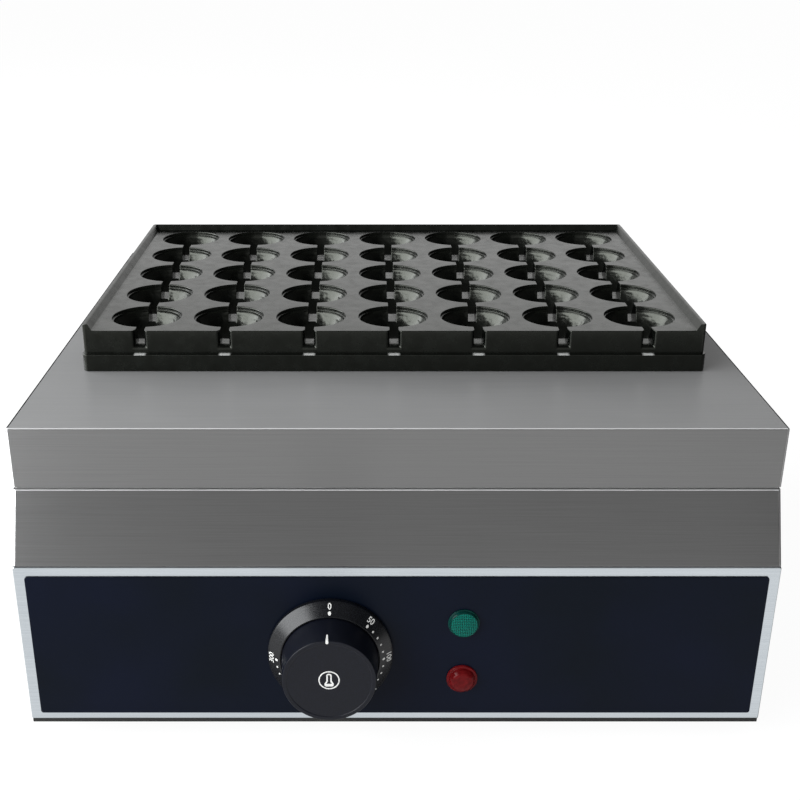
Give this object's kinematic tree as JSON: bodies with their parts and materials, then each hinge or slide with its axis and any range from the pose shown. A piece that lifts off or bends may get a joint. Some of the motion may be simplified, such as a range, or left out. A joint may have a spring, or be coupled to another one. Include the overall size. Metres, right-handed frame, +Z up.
{
  "type": "quail egg grill",
  "caption": "Countertop electric grill: a black cast plate of round egg cups joined by channels on a stainless housing with a thermostat knob and two pilot lamps.",
  "frame": {"origin": "on the surface that the feet stand on, under the middle of the object's box", "axes": "+X to the right of someone who faces the controls, +Y towards the back, +Z up"},
  "size_m": [0.4548, 0.4742, 0.2327],
  "materials": {
    "brushed_stainless": "fine brushed stainless steel sheet",
    "nonstick_coating": "cast aluminium with a black non-stick coating",
    "printed_overlay": "glossy blue-black printed plastic overlay",
    "satin_black_phenolic": "satin black moulded phenolic",
    "black_nylon": "moulded black nylon",
    "zinc_plated_steel": "bright zinc plated steel",
    "black_rubber": "moulded black rubber",
    "steatite_ceramic": "unglazed white steatite ceramic",
    "white_nylon": "white moulded nylon",
    "green_lens": "ribbed translucent green lamp lens",
    "red_lens": "ribbed translucent red lamp lens",
    "element_sheath": "oxidised steel heating element sheath",
    "ceramic_fibre": "pressed ceramic fibre board",
    "aluminised_steel": "aluminised steel sheet",
    "copper": "drawn copper",
    "brass_terminal": "turned brass",
    "galvanised_steel": "galvanised steel sheet",
    "red_silicone": "red silicone wire sleeve",
    "blue_silicone": "blue silicone wire sleeve",
    "green_silicone": "green and yellow silicone wire sleeve"
  },
  "bodies": {
    "housing": {"base_plate": "galvanised_steel", "body_shell": "brushed_stainless", "bulb_holder": "zinc_plated_steel", "cable_gland": "black_nylon", "capillary_tube": "copper", "clamp_bar_left": "zinc_plated_steel", "clamp_bar_right": "zinc_plated_steel", "clamp_bolt_front_left": "zinc_plated_steel", "clamp_bolt_front_right": "zinc_plated_steel", "clamp_bolt_rear_left": "zinc_plated_steel", "clamp_bolt_rear_right": "zinc_plated_steel", "control_overlay": "printed_overlay", "cover_hood": "brushed_stainless", "cover_screw_left_front": "zinc_plated_steel", "cover_screw_left_rear": "zinc_plated_steel", "cover_screw_right_front": "zinc_plated_steel", "cover_screw_right_rear": "zinc_plated_steel", "dial_ring": "satin_black_phenolic", "earth_nut": "brass_terminal", "earth_stud": "brass_terminal", "foot_front_left": "black_rubber", "foot_front_right": "black_rubber", "foot_rear_left": "black_rubber", "foot_rear_right": "black_rubber", "foot_screw_front_left": "zinc_plated_steel", "foot_screw_front_right": "zinc_plated_steel", "foot_screw_rear_left": "zinc_plated_steel", "foot_screw_rear_right": "zinc_plated_steel", "front_panel": "brushed_stainless", "gland_locknut": "black_nylon", "heat_shield": "aluminised_steel", "heating_element_1": "element_sheath", "heating_element_2": "element_sheath", "heating_element_3": "element_sheath", "insulation_board": "ceramic_fibre", "lamp_body_green": "white_nylon", "lamp_body_red": "white_nylon", "lamp_lens_green": "green_lens", "lamp_lens_red": "red_lens", "mould_plate": "nonstick_coating", "rear_panel": "brushed_stainless", "rear_screw_left_lower": "zinc_plated_steel", "rear_screw_left_upper": "zinc_plated_steel", "rear_screw_right_lower": "zinc_plated_steel", "rear_screw_right_upper": "zinc_plated_steel", "sensing_bulb": "copper", "shield_spacer_front_left": "zinc_plated_steel", "shield_spacer_front_right": "zinc_plated_steel", "shield_spacer_rear_left": "zinc_plated_steel", "shield_spacer_rear_right": "zinc_plated_steel", "terminal_block": "steatite_ceramic", "thermostat_body": "steatite_ceramic", "thermostat_screw_left": "zinc_plated_steel", "thermostat_screw_right": "zinc_plated_steel", "wire_earth": "green_silicone", "wire_heater": "red_silicone", "wire_live": "red_silicone", "wire_neutral": "blue_silicone"},
    "knob": {"knob": "satin_black_phenolic", "thermostat_shaft": "zinc_plated_steel"}
  },
  "joints": [
    {"name": "knob_turn", "type": "hinge", "parent": "housing", "child": "knob", "pos_m": [-0.0395, -0.2066, 0.06415], "axis": [0, 1, 0], "range_deg": [0, 265]}
  ]
}
